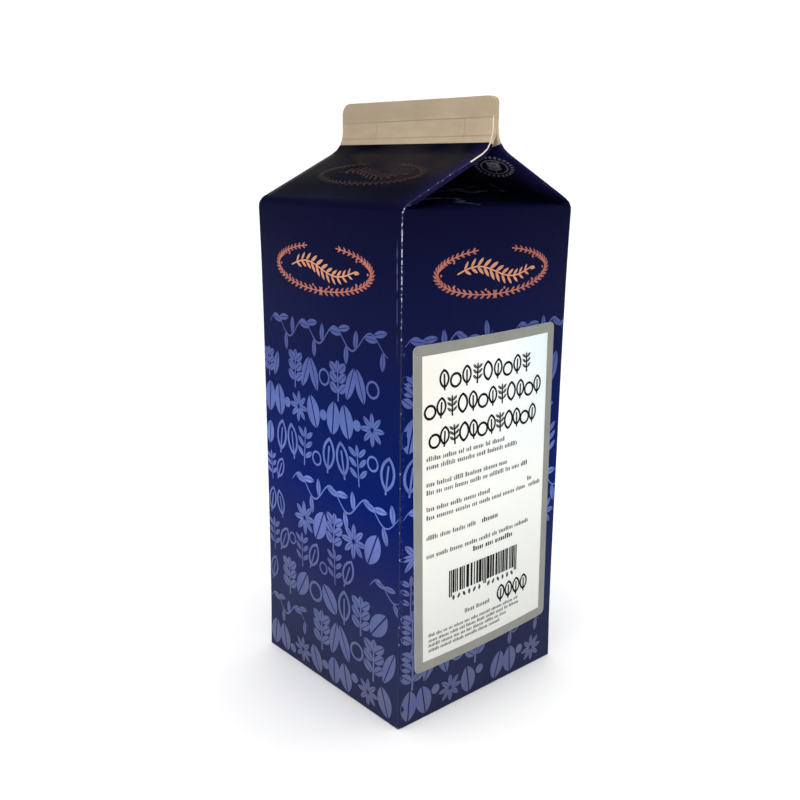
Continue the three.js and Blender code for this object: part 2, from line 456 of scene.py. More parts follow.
JAW_LINES = [(WALL_TOP + 33.4 * MM, 0.45 * MM), (WALL_TOP + 26.6 * MM, 0.5 * MM)]
LAYER_ENDS = [-31.7 * MM, 23.5 * MM]


def unprinted_finish():
    """Bare cream board under the plastic coat, as on the fin, with the two lines that the sealing jaws
    pressed along it, two upright lines of painted shade where layers end beneath, and painted shade
    towards its top and its back end."""
    finish = new_finish("unprinted_board", Specular_IOR_Level=0.35)
    _, along, height = axes(finish)
    mottled = spread(clouds(finish, 60, 4), 0.3, 0.7)
    fibres = spread(clouds(finish, 500, 4, (1, 0.2, 1)), 0.35, 0.7)
    cream = mixed(mottled, (190, 170, 143), (174, 155, 129))
    cream = mixed(times(fibres, 0.35), cream, (160, 141, 115))
    # Painted shade: the cream is darker towards the top of the fin and towards its back end.
    upper = spread(height, WALL_TOP + 33 * MM, WALL_TOP + 35 * MM, 0.0, 0.35)
    rear = spread(along, -15 * MM, 40 * MM, 0.0, 0.45)
    cream = mixed(plus(upper, rear), cream, (154, 136, 112))
    pressed = plus(*[band(height, *line) for line in JAW_LINES])
    below_line = spread(height, WALL_TOP + 33 * MM, WALL_TOP + 33.4 * MM, 1.0, 0.0)
    # The two upright lines are painted shade at the steps where layers end beneath; the two along the fin
    # are pressed marks.
    ends = plus(*[band(along, end, 0.4 * MM) for end in LAYER_ENDS])
    pressed = plus(pressed, times(ends, below_line))
    feed(finish, "Base Color", mixed(times(pressed, 0.4), cream, (140, 120, 94)))
    feed(finish, "Roughness", plus(times(mottled, 0.12), 0.36))
    raise_surface(finish, (clouds(finish, 30, 2), 0.4 * MM, 0.4), (fibres, 0.03 * MM, 0.6),
                  (pressed, -0.2 * MM, 0.8))
    return finish


def raw_finish():
    """Uncoated board, at the cut edges and inside."""
    finish = new_finish("raw_board", Specular_IOR_Level=0.2)
    fibres = clouds(finish, 1500, 4, (1, 1, 0.3))
    feed(finish, "Base Color", mixed(fibres, (232, 223, 204), (208, 194, 168)))
    feed(finish, "Roughness", spread(fibres, 0.2, 0.8, 0.65, 0.85))
    raise_surface(finish, (fibres, 0.03 * MM, 0.7))
    return finish


printed_board = printed_finish()
unprinted_board = unprinted_finish()
raw_board = raw_finish()

sheet = [sheet_row(row) for row in range(len(side_rows))]
columns = len(sheet[0])
deselect_all()
bpy.ops.mesh.primitive_grid_add(x_subdivisions=columns - 1, y_subdivisions=len(sheet) - 1, size=2)
board = name_piece("carton_board")

# The flat sheet's points are carried to their places in the folded carton.
place_on_sheet = []
for vertex in board.data.vertices:
    column = round((vertex.co.x + 1) / 2 * (columns - 1))
    row = round((vertex.co.y + 1) / 2 * (len(sheet) - 1))
    place_on_sheet.append((row, column))
    vertex.co = settle(sheet[row][column])
board.data.flip_normals()


def bend_columns():
    """True for each column that lies in one of the creases round the corners."""
    run = [False] * SIDE_STEPS + [True] * (2 * BEND_STEPS + 1) + [False] * (FOLD_STEPS - 1)
    run += [True] * (BEND_STEPS + 1) + [False] * SIDE_STEPS
    flap = [False] * FLAP_STEPS + run[SIDE_STEPS:]
    return [True] + [False] * SIDE_STEPS + run + run[::-1] + run + flap[::-1]


# Columns and rows that lie in a bend are marked, for the wear along the folds.
in_bend = bend_columns()
fold = board.data.attributes.new("fold", "FLOAT", "POINT")
for index, (row, column) in enumerate(place_on_sheet):
    bent = in_bend[column] or row <= ROW_BENDS + 1
    fold.data[index].value = 1.0 if bent else 0.0

for finish in (printed_board, unprinted_board, raw_board):
    board.data.materials.append(finish)
for face in board.data.polygons:
    face.material_index = 1 if face.center.z > UNPRINTED_FROM else 0
finish_with(board, "SOLIDIFY", thickness=BOARD, offset=-1, use_even_offset=False,
            material_offset=2, material_offset_rim=2)
bpy.ops.object.shade_smooth_by_angle(angle=math.radians(50))
for vertex in board.data.vertices:
    vertex.co.z = max(vertex.co.z, 0.0)

# The left panel's cut edge is pressed into the corner and dark with ink. It shows pale at the foot of the
# fin, and near the top of the wall it has pale spots: small breaks in the ink, and painted glints on the
# crinkled coat. Higher up the fin it is sealed flat.
BROKEN_FROM = 160 * MM
PALE_FROM = WALL_TOP + 16.5 * MM
SEALED_FROM = WALL_TOP + 34 * MM


def cut_edge_finish():
    """The inked edge of the board, with pale spots that grow towards the top of the wall: breaks in the
    ink, and painted glints on the crinkled coat.
    """
    finish = new_finish("cut_edge", Specular_IOR_Level=0.3, Roughness=0.45)
    height = axes(finish)[2]
    often = times(spread(height, BROKEN_FROM, WALL_TOP - 25 * MM, 0.0, 0.21),
                  spread(height, WALL_TOP - 8 * MM, WALL_TOP + 2 * MM, 1.0, 0.2))
    breaks_and_glints = spread(plus(clouds(finish, 700, 2), often), 0.66, 0.74)
    feed(finish, "Base Color", mixed(breaks_and_glints, (20, 22, 66), (186, 190, 220)))
    raise_surface(finish, (breaks_and_glints, 0.05 * MM, 0.6))
    return finish


board.data.materials.append(cut_edge_finish())
for face in board.data.polygons:
    on_cut = face.center.x < 0 and face.center.y < 0.9 * -HALF_SIDE
    if face.material_index == 2 and on_cut and face.center.z < PALE_FROM:
        face.material_index = 3
    if face.material_index == 2 and on_cut and face.center.z > SEALED_FROM:
        face.material_index = 1
    # No bare board shows in the tight folds at the foot of the walls and at the corners of the roof.
    outermost = max(abs(face.center.x), abs(face.center.y)) > 0.9 * HALF_SIDE
    at_fold = face.center.z < 4 * MM or WALL_TOP - 3 * MM < face.center.z < PALE_FROM
    if face.material_index == 2 and outermost and at_fold:
        face.material_index = 0

board_nodes = ["front_panel", "right_panel", "back_panel", "left_panel", "side_seam_flap", "left_roof",
               "right_roof", "fin_outer_left", "fin_outer_right", "fin_inner_front", "fin_inner_back"]
for end in ("front", "back"):
    board_nodes += [end + "_gable_triangle", end + "_foldback_left", end + "_foldback_right"]
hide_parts(*board_nodes)
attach(board, "root")

# ----------------------------------------
# The bottom. Two flaps and two tucks are folded under the carton and sealed on each other; only the
# outer flap is printed on the side that shows.
# ----------------------------------------

for name in ("bottom_outer_flap", "bottom_inner_flap", "bottom_left_tuck", "bottom_right_tuck"):
    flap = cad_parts[name]
    flap.data.materials.clear()
    flap.data.materials.append(raw_board if "tuck" in name else printed_board)

# ----------------------------------------
# The leaves. The carton is filled with loose dried bay leaves that lie roughly flat on each other.
# Each is a stiff pointed blade, folded a little along its pale midrib and curled as it dried.
# ----------------------------------------

LEAF_COUNT = 150
LEAF_LONG = 66 * MM
LEAF_WIDE = 25 * MM
PILE_FOOT = 9 * MM
PILE_TOP = 178 * MM
random.seed(3)


def leaf_finish():
    """Grey-green leaf, browner in patches, with a pale midrib and side veins."""
    finish = new_finish("bay_leaf", Specular_IOR_Level=0.35)
    across = add_node(finish.node_tree, "UVMap", {}, uv_map="UVMap").outputs["UV"]
    split = add_node(finish.node_tree, "SeparateXYZ", {"Vector": across})
    from_midrib = maths("ABSOLUTE", plus(split.outputs["X"], -0.5))
    midrib = spread(from_midrib, 0.02, 0.05, 1.0, 0.0)
    slanted = plus(split.outputs["Y"], times(from_midrib, -0.9))
    share = maths("FRACT", times(slanted, 10.0))
    veins = spread(share, 0.0, 0.12, 0.5, 0.0)
    lines = maths("MAXIMUM", midrib, veins)
    dried = spread(clouds(finish, 60, 4), 0.4, 0.65)
    green = mixed(dried, (112, 122, 82), (134, 124, 84))
    feed(finish, "Base Color", mixed(lines, green, (170, 168, 124)))
    feed(finish, "Roughness", spread(dried, 0.0, 1.0, 0.45, 0.6))
    raise_surface(finish, (lines, 0.2 * MM, 0.6), (clouds(finish, 700, 3), 0.05 * MM, 0.5))
    return finish


def bay_leaf():
    """One leaf: a flat grid drawn in to a pointed outline, then folded and curled."""
    deselect_all()
    bpy.ops.mesh.primitive_grid_add(x_subdivisions=4, y_subdivisions=8, size=1)
    leaf = name_piece("bay_leaf")
    for vertex in leaf.data.vertices:
        across, along = vertex.co.x, vertex.co.y
        outline = max(0.05, math.sin(math.pi * (along + 0.5)) ** 0.75)
        rise = 7 * MM * abs(across) * outline + 9 * MM * along ** 2
        vertex.co = (across * LEAF_WIDE * outline, along * LEAF_LONG, rise)
    bpy.ops.object.shade_smooth()
    return leaf


def copy_of(piece):
    copy = piece.copy()
    copy.data = piece.data.copy()
    bpy.context.scene.collection.objects.link(copy)
    return copy


pattern_leaf = bay_leaf()
deselect_all()
for step in range(LEAF_COUNT):
    leaf = copy_of(pattern_leaf)
    height = PILE_FOOT + (PILE_TOP - PILE_FOOT) * step / (LEAF_COUNT - 1)
    leaf.location = (random.uniform(-8, 8) * MM, random.uniform(-8, 8) * MM, height)
    tilt = [math.radians(random.uniform(-7, 7)) for axis in range(2)]
    leaf.rotation_euler = (tilt[0], tilt[1] + random.choice((0, math.pi)), random.uniform(0, 2 * math.pi))
    size = random.uniform(0.8, 1.0)
    leaf.scale = (size, size, size)
    leaf.select_set(True)
    bpy.context.view_layer.objects.active = leaf
bpy.ops.object.join()
bpy.ops.object.transform_apply(location=True, rotation=True, scale=True)
leaves = name_piece("bay_leaf_pile")
leaves.data.materials.append(leaf_finish())
bpy.data.objects.remove(pattern_leaf)
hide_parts("bay_leaves")
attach(leaves, "root")

# ----------------------------------------
# The print. Pale blue rows of leaves, berries, sprigs and vines run round all four walls, under a
# copper wreath. Each colour of ink is a thin film, laid flat first and then pressed on the board.
# ----------------------------------------

INK_HEIGHT = 0.07 * MM                # ink stands this far off the board
PRESS_FROM = 12 * MM                  # flat prints start this far out and are pressed inwards
UPRIGHT = (math.pi / 2, 0, 0)         # turns a flat shape to face the front
random.seed(7)


def ink_finish(name, tint, worn_tint, roughness, stops=()):
    """A film of ink, a little uneven. With stops, its tint changes with the height instead."""
    finish = new_finish(name, Specular_IOR_Level=0.04)
    uneven = spread(clouds(finish, 120, 4), 0.35, 0.7)
    if stops:
        tint = colour_by_height(finish, stops)
    feed(finish, "Base Color", mixed(times(uneven, 0.6), tint, worn_tint))
    feed(finish, "Roughness", plus(times(uneven, 0.1), roughness))
    raise_surface(finish, (clouds(finish, 420, 2), 0.03 * MM, 0.5))
    return finish


def edit_all(piece):
    """Opens a piece for shaping, with all of it selected."""
    select_only(piece)
    bpy.ops.object.mode_set(mode="EDIT")
    bpy.ops.mesh.select_all(action="SELECT")


def flat_disc(name, steps=16):
    """A round spot 1 across."""
    deselect_all()
    bpy.ops.mesh.primitive_circle_add(vertices=steps, radius=0.5, fill_type="NGON", rotation=UPRIGHT)
    bpy.ops.object.transform_apply()
    return name_piece(name)


def flat_bar(name):
    """A square spot 1 across, to be stretched into bars and stems."""
    deselect_all()
    bpy.ops.mesh.primitive_plane_add(size=1, rotation=UPRIGHT)
    bpy.ops.object.transform_apply()
    return name_piece(name)


def flat_leaf(name, width, vein):
    """A pointed leaf 1 long, in two halves with the vein left bare between them."""
    deselect_all()
    radius = (0.25 + width ** 2 / 4) / width
    bpy.ops.mesh.primitive_circle_add(vertices=56, radius=radius, fill_type="NGON",
                                      location=(width / 2 - radius, 0, 0), rotation=UPRIGHT)
    bpy.ops.object.transform_apply()
    leaf = name_piece(name)
    edit_all(leaf)
    bpy.ops.mesh.bisect(plane_co=(vein / 2, 0, 0), plane_no=(1, 0, 0), clear_inner=True)
    bpy.ops.mesh.select_all(action="SELECT")
    bpy.ops.mesh.duplicate()
    bpy.ops.transform.rotate(value=math.pi, orient_axis="Y", center_override=(0, 0, 0))
    deselect_all()
    return leaf


def outlined(mark, name, stroke):
    """The outline of a mark only, with a stroke of this width."""
    line = copy_of(mark)
    line.name = name
    edit_all(line)
    bpy.ops.mesh.remove_doubles(threshold=0.001)
    bpy.ops.mesh.dissolve_faces()
    bpy.ops.mesh.inset(thickness=stroke, depth=0)
    bpy.ops.mesh.delete(type="FACE")
    deselect_all()
    return line


def lay(mark, x, z, length, turn=0.0, width=None):
    """A copy of a mark, x to the right and z up, this long, turned to the right by some degrees."""
    copy = copy_of(mark)
    across = length if width is None else width
    stretched = Matrix.Diagonal((across, 1, length, 1))
    turned = Matrix.Rotation(math.radians(turn), 4, "Y")
    copy.matrix_world = Matrix.Translation((x, 0, z)) @ turned @ stretched
    return copy


def join_marks(marks, name):
    """Makes one piece of many marks."""
    deselect_all()
    for mark in marks:
        mark.select_set(True)
    bpy.context.view_layer.objects.active = marks[0]
    if len(marks) > 1:
        bpy.ops.object.join()
    bpy.ops.object.transform_apply()
    return name_piece(name)


def place_facing(centre, normal, up=(0, 0, 1)):
    """Where a flat print goes that is seen from the side of the normal, with its top towards up."""
    out = Vector(normal).normalized()
    top = (Vector(up) - out * out.dot(Vector(up))).normalized()
    right = top.cross(out)
    turned = Matrix((right, -out, top)).transposed().to_4x4()
    return Matrix.Translation(centre) @ turned


def press_on(piece, place, gap, start=PRESS_FROM):
    """Presses a flat piece on the board, and leaves a gap between them."""
    piece.matrix_world = place @ Matrix.Translation((0, -start, 0))
    finish_with(piece, "SHRINKWRAP", target=board, wrap_method="PROJECT", wrap_mode="ABOVE_SURFACE",
                use_project_y=True, use_positive_direction=True, offset=gap)
    bpy.ops.object.transform_apply()


def trim_sides(piece, reach):
    """Cuts off what hangs past the left and right edge of a wall."""
    for side in (-1, 1):
        edit_all(piece)
        bpy.ops.mesh.bisect(plane_co=(side * reach, 0, 0), plane_no=(side, 0, 0), clear_outer=True)
    deselect_all()


def slice_up(piece, step):
    """Cuts a flat piece across both ways, so that it can follow the bow of the wall."""
    width, depth, height = piece.dimensions
    middle = sum((Vector(corner) for corner in piece.bound_box), Vector()) / 8
    edit_all(piece)
    for axis, length in ((Vector((1, 0, 0)), width), (Vector((0, 0, 1)), height)):
        count = round(length / step)
        for cut in range(1, count):
            bpy.ops.mesh.select_all(action="SELECT")
            bpy.ops.mesh.bisect(plane_co=middle + axis * (cut / count - 0.5) * length, plane_no=axis)
    deselect_all()


def print_on(piece, place, finish, gap=INK_HEIGHT, start=PRESS_FROM):
    """Presses a flat film of ink on the board and gives it its finish and slot."""
    press_on(piece, place, gap, start)
    finish_with(piece, "TRIANGULATE")
    piece.data.materials.clear()
    piece.data.materials.append(finish)
    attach(piece, "root")


spot = flat_disc("spot")
bar = flat_bar("bar")
bold_leaf = flat_leaf("bold_leaf", 0.6, 0.05)
slim_leaf = flat_leaf("slim_leaf", 0.36, 0.03)
ring = outlined(spot, "ring", 0.13)
line_leaf = outlined(flat_leaf("line_leaf_blank", 0.55, 0.0), "line_leaf", 0.085)
heading_leaf = outlined(flat_leaf("heading_leaf_blank", 0.66, 0.0), "heading_leaf", 0.12)
heading_ring = outlined(spot, "heading_ring", 0.16)


def star_mark():
    """A star of eight pointed pods round a seed."""
    pods = []
    for step in range(8):
        angle = step * math.pi / 4
        pods.append(lay(slim_leaf, 0.27 * math.sin(angle), 0.27 * math.cos(angle), 0.46, 45 * step))
    return join_marks(pods, "star")


def sprig_mark(name, leaf, stem_width):
    """A short upright sprig: a stem, three pairs of leaves and one on top."""
    parts = [lay(bar, 0, -0.1, 0.8, 0, stem_width)]
    for level in (-0.28, -0.02, 0.22):
        for side in (-1, 1):
            parts.append(lay(leaf, side * 0.17, level + 0.1, 0.36, side * 52))
    parts.append(lay(leaf, 0, 0.36, 0.3))
    return join_marks(parts, name)


def veined_mark(name, outline, stroke):
    """The outline of a leaf with its midrib, which ends in a short stalk."""
    return join_marks([lay(outline, 0, 0.04, 0.92), lay(bar, 0, -0.12, 0.76, 0, stroke)], name)


star = star_mark()
sprig = sprig_mark("sprig", bold_leaf, 0.05)
line_sprig = sprig_mark("line_sprig", slim_leaf, 0.035)
veined_leaf = veined_mark("veined_leaf", line_leaf, 0.06)
heading_veined = veined_mark("heading_veined", heading_leaf, 0.1)
heading_sprig = sprig_mark("heading_sprig", slim_leaf, 0.1)

# Each style is a run of marks: the mark, its share of the row's height, its turn, and the room it takes.
STYLES = {
    "heavy": [(bold_leaf, 1.12, 8, 0.66), (bold_leaf, 1.12, 172, 0.64), (spot, 0.36, 0, 0.38),
              (star, 1.1, 0, 1.0), (bold_leaf, 1.12, -14, 0.7), (spot, 0.36, 0, 0.38)],
    "medium": [(sprig, 1.35, 0, 0.84), (slim_leaf, 1.2, 18, 0.42), (slim_leaf, 1.2, -18, 0.54),
               (ring, 0.6, 0, 0.62)],
    "light": [(veined_leaf, 1.2, 10, 0.68), (veined_leaf, 1.2, -12, 0.7), (line_sprig, 1.3, 0, 0.74),
              (ring, 0.5, 0, 0.56)],
    "thin": [(line_sprig, 1.25, 0, 0.74), (veined_leaf, 1.1, 24, 0.62), (ring, 0.45, 0, 0.5)],
    "stars": [(star, 1.2, 0, 1.08), (bold_leaf, 1.12, 20, 0.64), (sprig, 1.3, 0, 0.84)],
    "round": [(sprig, 1.3, 0, 0.84), (bold_leaf, 1.05, 35, 0.72), (ring, 0.7, 0, 0.74),
              (bold_leaf, 1.05, -35, 0.74), (veined_leaf, 1.15, 0, 0.7)],
}


def fill_run(style, left, right, low, height):
    """Fills a stretch of a row with one style of marks."""
    marks = []
    x = left
    step = 0
    while True:
        mark, share, turn, room = STYLES[style][step % len(STYLES[style])]
        if x + room * height > right:
            return marks
        lift = low + height * (0.5 if share > 0.5 else random.choice((0.25, 0.5, 0.72)))
        lean = turn + random.uniform(-5, 5)
        marks.append(lay(mark, x + room * height / 2, lift, share * height, lean))
        x += room * height
        step += 1


def vine_run(left, right, low, height):
    """A thin waving stem with leaves on both sides, in place of upright marks."""
    length = right - left
    steps = max(8, round(length / (1.2 * MM)))
    wave = 1.35 * height
    deselect_all()
    bpy.ops.mesh.primitive_grid_add(x_subdivisions=steps, y_subdivisions=1, size=1, rotation=UPRIGHT)
    bpy.ops.object.transform_apply()
    stem = name_piece("vine")

    def rise(x):
        return 0.26 * height * math.sin((x - left) / wave * 2 * math.pi)

    for vertex in stem.data.vertices:
        x = left + (vertex.co.x + 0.5) * length
        stroke = 0.9 * MM * (1 - 0.5 * abs(2 * (x - left) / length - 1) ** 3)
        vertex.co = (x, 0, low + height / 2 + rise(x) + vertex.co.z * stroke)
    marks = [stem]
    count = max(2, round(length / (0.34 * height)))
    for step in range(count):
        x = left + (step + 0.5) * length / count
        side = 1 if step % 2 else -1
        slope = math.degrees(math.atan2(rise(x + 0.5 * MM) - rise(x), 0.5 * MM))
        turn = 90 - slope - side * 48
        reach = 0.25 * height
        leaf_x = x + reach * math.sin(math.radians(turn))
        leaf_z = low + height / 2 + rise(x) + reach * math.cos(math.radians(turn))
        marks.append(lay(slim_leaf, leaf_x, leaf_z, 0.5 * height, turn))
    return marks


# The rows of one wall, from the top down: left end, right end, foot, height and style. On the other
# walls the same rows are shifted sideways.
WALL_ROWS = [
    (-40, 40, 151, 16, "vine"), (42, 47, 154, 12, "thin"),
    (-46, -29, 136, 10, "medium"), (-25, 44, 135, 12.5, "medium"),
    (-46, 47, 118.5, 13, "heavy"),
    (-46, -39, 103, 10, "heavy"), (-37, 47, 101.5, 13.5, "light"),
    (-46, -26, 87, 11, "thin"), (-24, 47, 82, 17, "vine"),
    (-46, -30, 70, 11, "light"), (-22, 47, 68, 13.5, "stars"),
    (-46, 24, 52.5, 13, "thin"), (30, 47, 52, 14, "vine"),
    (-46, -38, 36, 11, "light"), (-34, 47, 35.5, 14, "round"),
    (-46, -14, 18.5, 14, "vine"), (-9, 47, 18, 14.5, "medium"),
    (-46, 47, 2.5, 12.5, "heavy"),
]
PRINT_EDGE = 46.2
WALLS = [
    ("front", (0, -1, 0), 52),
    ("left", (-1, 0, 0), 0),
    ("back", (0, 1, 0), 28),
    ("right", (1, 0, 0), -34),
]

# The pale ink is greyer low down and brightest blue at mid height, as painted light, like the board under
# it.
PALE_STOPS = [
    (0.03, (93, 96, 127)),
    (0.18, (85, 94, 133)),
    (0.29, (88, 96, 146)),
    (0.43, (106, 127, 204)),
    (0.58, (86, 106, 174)),
    (0.72, (70, 80, 138)),
]
pale_ink = ink_finish("pale_ink", None, (74, 84, 138), 0.3, PALE_STOPS)
for wall, normal, shift in WALLS:
    marks = []
    for left, right, low, height, style in WALL_ROWS:
        for move in (shift, shift - math.copysign(2 * PRINT_EDGE, shift)):
            start = max(left + move, -PRINT_EDGE)
            stop = min(right + move, PRINT_EDGE)
            if stop - start < 0.6 * height or (shift == 0 and move != 0):
                continue
            if style == "vine":
                marks += vine_run(start * MM, stop * MM, low * MM, height * MM)
            else:
                marks += fill_run(style, start * MM, stop * MM, low * MM, height * MM)
    rows = join_marks(marks, wall + "_pale_print")
    trim_sides(rows, PRINT_EDGE * MM)
    slice_up(rows, 3 * MM)
    print_on(rows, place_facing(Vector(normal) * HALF_SIDE, normal), pale_ink)


# The wreath: two copper branches that cross below and leave a gap on top, with a sprig between.
EMBLEM_WIDTH = 62 * MM
EMBLEM_HEIGHT = 18 * MM
EMBLEM_LEVEL = 185.4 * MM
BRANCH_FROM = -99                     # where each branch starts, in degrees round the wreath
BRANCH_SWEEP = 171
BRANCH_STEPS = 26


def stem_marks(points, stroke):
    """A thin stem along a line of points, each given as x and z."""
    marks = []
    for start, end in zip(points, points[1:]):
        along = end - start
        middle = (start + end) / 2
        turn = math.degrees(math.atan2(along.x, along.y))
        marks.append(lay(bar, middle.x, middle.y, along.length + 0.5 * stroke, turn, stroke))
    return marks


def paired_leaves(leaf, point, turn, lean, length, width):
    """Two leaves that leave a stem at a point, one to each side."""
    marks = []
    for side in (-1, 1):
        angle = turn + side * lean
        x = point.x + 0.5 * length * math.sin(math.radians(angle))
        z = point.y + 0.5 * length * math.cos(math.radians(angle))
        marks.append(lay(leaf, x, z, length, angle, width))
    return marks


def wreath_marks(width, height):
    """Two leafy branches that bend up to the left and right, with a berry here and there."""
    marks = []
    steps = BRANCH_STEPS
    for side in (-1, 1):
        stem = []
        for step in range(steps + 1):
            angle = math.radians(BRANCH_FROM + BRANCH_SWEEP * step / steps)
            stem.append(Vector((side * width / 2 * math.cos(angle), height / 2 * math.sin(angle))))
        marks += stem_marks(stem, 0.45 * MM)
        for step in range(1, steps):
            along = stem[step + 1] - stem[step - 1]
            turn = math.degrees(math.atan2(along.x, along.y))
            length = (3.1 - 0.8 * step / steps) * MM
            if step % 6 == 3:
                marks.append(lay(spot, stem[step].x * 0.93, stem[step].y * 0.78, 1.0 * MM))
            marks += paired_leaves(slim_leaf, stem[step], turn, 33, length, 0.8 * length)
    return marks


def inner_sprig_marks(width, leaf_length):
    """A lying sprig of bay: a waved stem and pairs of leaves that get smaller towards the tip."""
    pairs = 11
    stem = []
    for step in range(pairs + 2):
        share = step / (pairs + 1)
        stem.append(Vector((width * (share - 0.5), 0.06 * width * math.sin(2 * math.pi * share))))
    marks = stem_marks(stem, 0.55 * MM)
    for step in range(1, pairs + 1):
        along = stem[step + 1] - stem[step - 1]
        turn = math.degrees(math.atan2(along.x, along.y))
        length = leaf_length * (1 - 0.35 * abs(2 * step / pairs - 0.9))
        marks += paired_leaves(slim_leaf, stem[step], turn, 42, length, 0.72 * length)
    marks.append(lay(slim_leaf, stem[-1].x + 0.3 * leaf_length, stem[-1].y, 0.7 * leaf_length, 90))
    return marks


copper_ink = ink_finish("copper_ink", (182, 112, 98), (146, 86, 78), 0.3)
light_copper = ink_finish("light_copper_ink", (214, 150, 118), (188, 136, 104), 0.3)
# Painted shade: the roof's ink is a much darker copy of the copper inks.
dark_shaded_copper = ink_finish("roof_copper_ink", (52, 33, 32), (36, 26, 27), 0.3)
wreath = join_marks(wreath_marks(EMBLEM_WIDTH, EMBLEM_HEIGHT), "wreath")
wreath_sprig = join_marks(inner_sprig_marks(41 * MM, 5.6 * MM), "wreath_sprig")


def print_emblem(where, place, outer_ink, inner_ink):
    for pattern, finish in ((wreath, outer_ink), (wreath_sprig, inner_ink)):
        printed = lay(pattern, 0, 0, 1)
        printed.name = where + "_" + pattern.name
        printed.data.name = printed.name
        print_on(printed, place, finish)


for wall, normal, shift in WALLS:
    centre = Vector(normal) * HALF_SIDE + Vector((0, 0, EMBLEM_LEVEL))
    print_emblem(wall, place_facing(centre, normal), copper_ink, light_copper)

# The same wreath on both roof panels, in a much darker copper as painted shade, and a round stamp on the
# folded-in front.
roof_slope = math.atan2(FIN_FOOT - WALL_TOP, HALF_SIDE - FIN_HALF)
for side, name in ((-1, "left_roof"), (1, "right_roof")):
    normal = (side * math.sin(roof_slope), 0, math.cos(roof_slope))
    centre = (side * 24 * MM, 0, WALL_TOP + 12 * MM)
    print_emblem(name, place_facing(centre, normal), dark_shaded_copper, dark_shaded_copper)

fold_corner = Vector((HALF_SIDE, -HALF_SIDE, WALL_TOP))
fold_tip = Vector((0, -APEX_INSET, APEX_HEIGHT))
fold_top = Vector((FIN_HALF, -HALF_SIDE, FIN_FOOT))
fold_normal = (fold_top - fold_corner).cross(fold_tip - fold_corner).normalized()
if fold_normal.y > 0:
    fold_normal.negate()
STAMP_RADIUS = 7.4 * MM
STAMP_CENTRE = (10.3 * MM, -36.9 * MM, WALL_TOP + 15 * MM)
STAMP_STROKES = 24
stamp_marks = []
for step in range(STAMP_STROKES):
    angle = step * 360 / STAMP_STROKES
    x = STAMP_RADIUS * math.sin(math.radians(angle))
    z = STAMP_RADIUS * math.cos(math.radians(angle))
    stamp_marks.append(lay(bar, x, z, 1.5 * MM, angle, 1.1 * MM))
stamp_marks.append(lay(outlined(spot, "stamp_ring", 0.05), 0, 0, 11.5 * MM))
stamp_marks.append(lay(sprig, 0, 0, 9 * MM))
stamp = join_marks(stamp_marks, "stamp_print")
stamp_ink = ink_finish("stamp_ink", (108, 103, 117), (14, 14, 26), 0.35)
print_on(stamp, place_facing(STAMP_CENTRE, fold_normal), stamp_ink, start=3 * MM)

# ----------------------------------------
# The label. A sheet of white self-adhesive paper with rounded corners and a printed grey border,
# stuck on the front by hand, so it is a little crooked. Its text is replaced by plain marks.
# ----------------------------------------

LABEL_WIDTH = 80.5 * MM
LABEL_HEIGHT = 137.5 * MM
LABEL_CORNER = 2.4 * MM
LABEL_GLUE = 0.06 * MM
LABEL_PAPER = 0.16 * MM
ON_LABEL = LABEL_GLUE + LABEL_PAPER + INK_HEIGHT
LABEL_BORDER = 4.2 * MM
LABEL_TILT = math.radians(-1.1)
LABEL_SLICE = 4 * MM
LABEL_CENTRE = (-0.2 * MM, -HALF_SIDE, 91.8 * MM)
label_place = place_facing(LABEL_CENTRE, (0, -1, 0)) @ Matrix.Rotation(LABEL_TILT, 4, "Y")


def paper_finish():
    """Smooth matt paper with faint fibres, painted darker towards the bottom as shade, and warmer at the
    left and cooler at the right as painted light.
    """
    finish = new_finish("label_paper", Specular_IOR_Level=0.4)
    cast = spread(clouds(finish, 14, 2), 0.35, 0.65)
    fibres = clouds(finish, 1800, 4)
    # Painted shade: the paper is darker towards the bottom.
    white = colour_by_height(finish, [
        (0.1, (208, 208, 200)),
        (0.29, (227, 229, 223)),
        (0.43, (240, 241, 236)),
        (0.7, (243, 248, 247)),
    ])
    across, _, height = axes(finish)
    # Painted light: a warm cast on the upper left of the paper and a cool one on the upper right.
    painted_warm_light = times(spread(across, -38 * MM, 5 * MM, 0.8, 0.0), spread(height, 50 * MM, 145 * MM))
    painted_cool_light = times(spread(across, 5 * MM, 38 * MM, 0.0, 0.8), spread(height, 95 * MM, 150 * MM))
    white = mixed(times(cast, 0.2), white, (232, 238, 238))
    white = mixed(painted_warm_light, white, (238, 230, 216))
    white = mixed(painted_cool_light, white, (216, 234, 236))
    white = mixed(times(fibres, 0.08), white, (206, 206, 198))
    feed(finish, "Base Color", white)
    feed(finish, "Roughness", spread(fibres, 0.2, 0.8, 0.42, 0.55))
    raise_surface(finish, (clouds(finish, 35, 2), 0.25 * MM, 0.4), (fibres, 0.02 * MM, 0.5))
    return finish


def rounded_sheet(name):
    """A flat sheet the size of the label."""
    deselect_all()
    bpy.ops.mesh.primitive_plane_add(size=1, rotation=UPRIGHT)
    bpy.ops.transform.resize(value=(LABEL_WIDTH, 1, LABEL_HEIGHT))
    bpy.ops.object.transform_apply()
    sheet_piece = name_piece(name)
    edit_all(sheet_piece)
    bpy.ops.mesh.bevel(offset=LABEL_CORNER, segments=6, affect="VERTICES")
    deselect_all()
    return sheet_piece


label = rounded_sheet("paper_label")
slice_up(label, LABEL_SLICE)
press_on(label, label_place, LABEL_GLUE)
finish_with(label, "SOLIDIFY", thickness=LABEL_PAPER, offset=1)
label.data.materials.append(paper_finish())
bpy.ops.object.shade_smooth_by_angle(angle=math.radians(40))
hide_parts("label")
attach(label, "root")

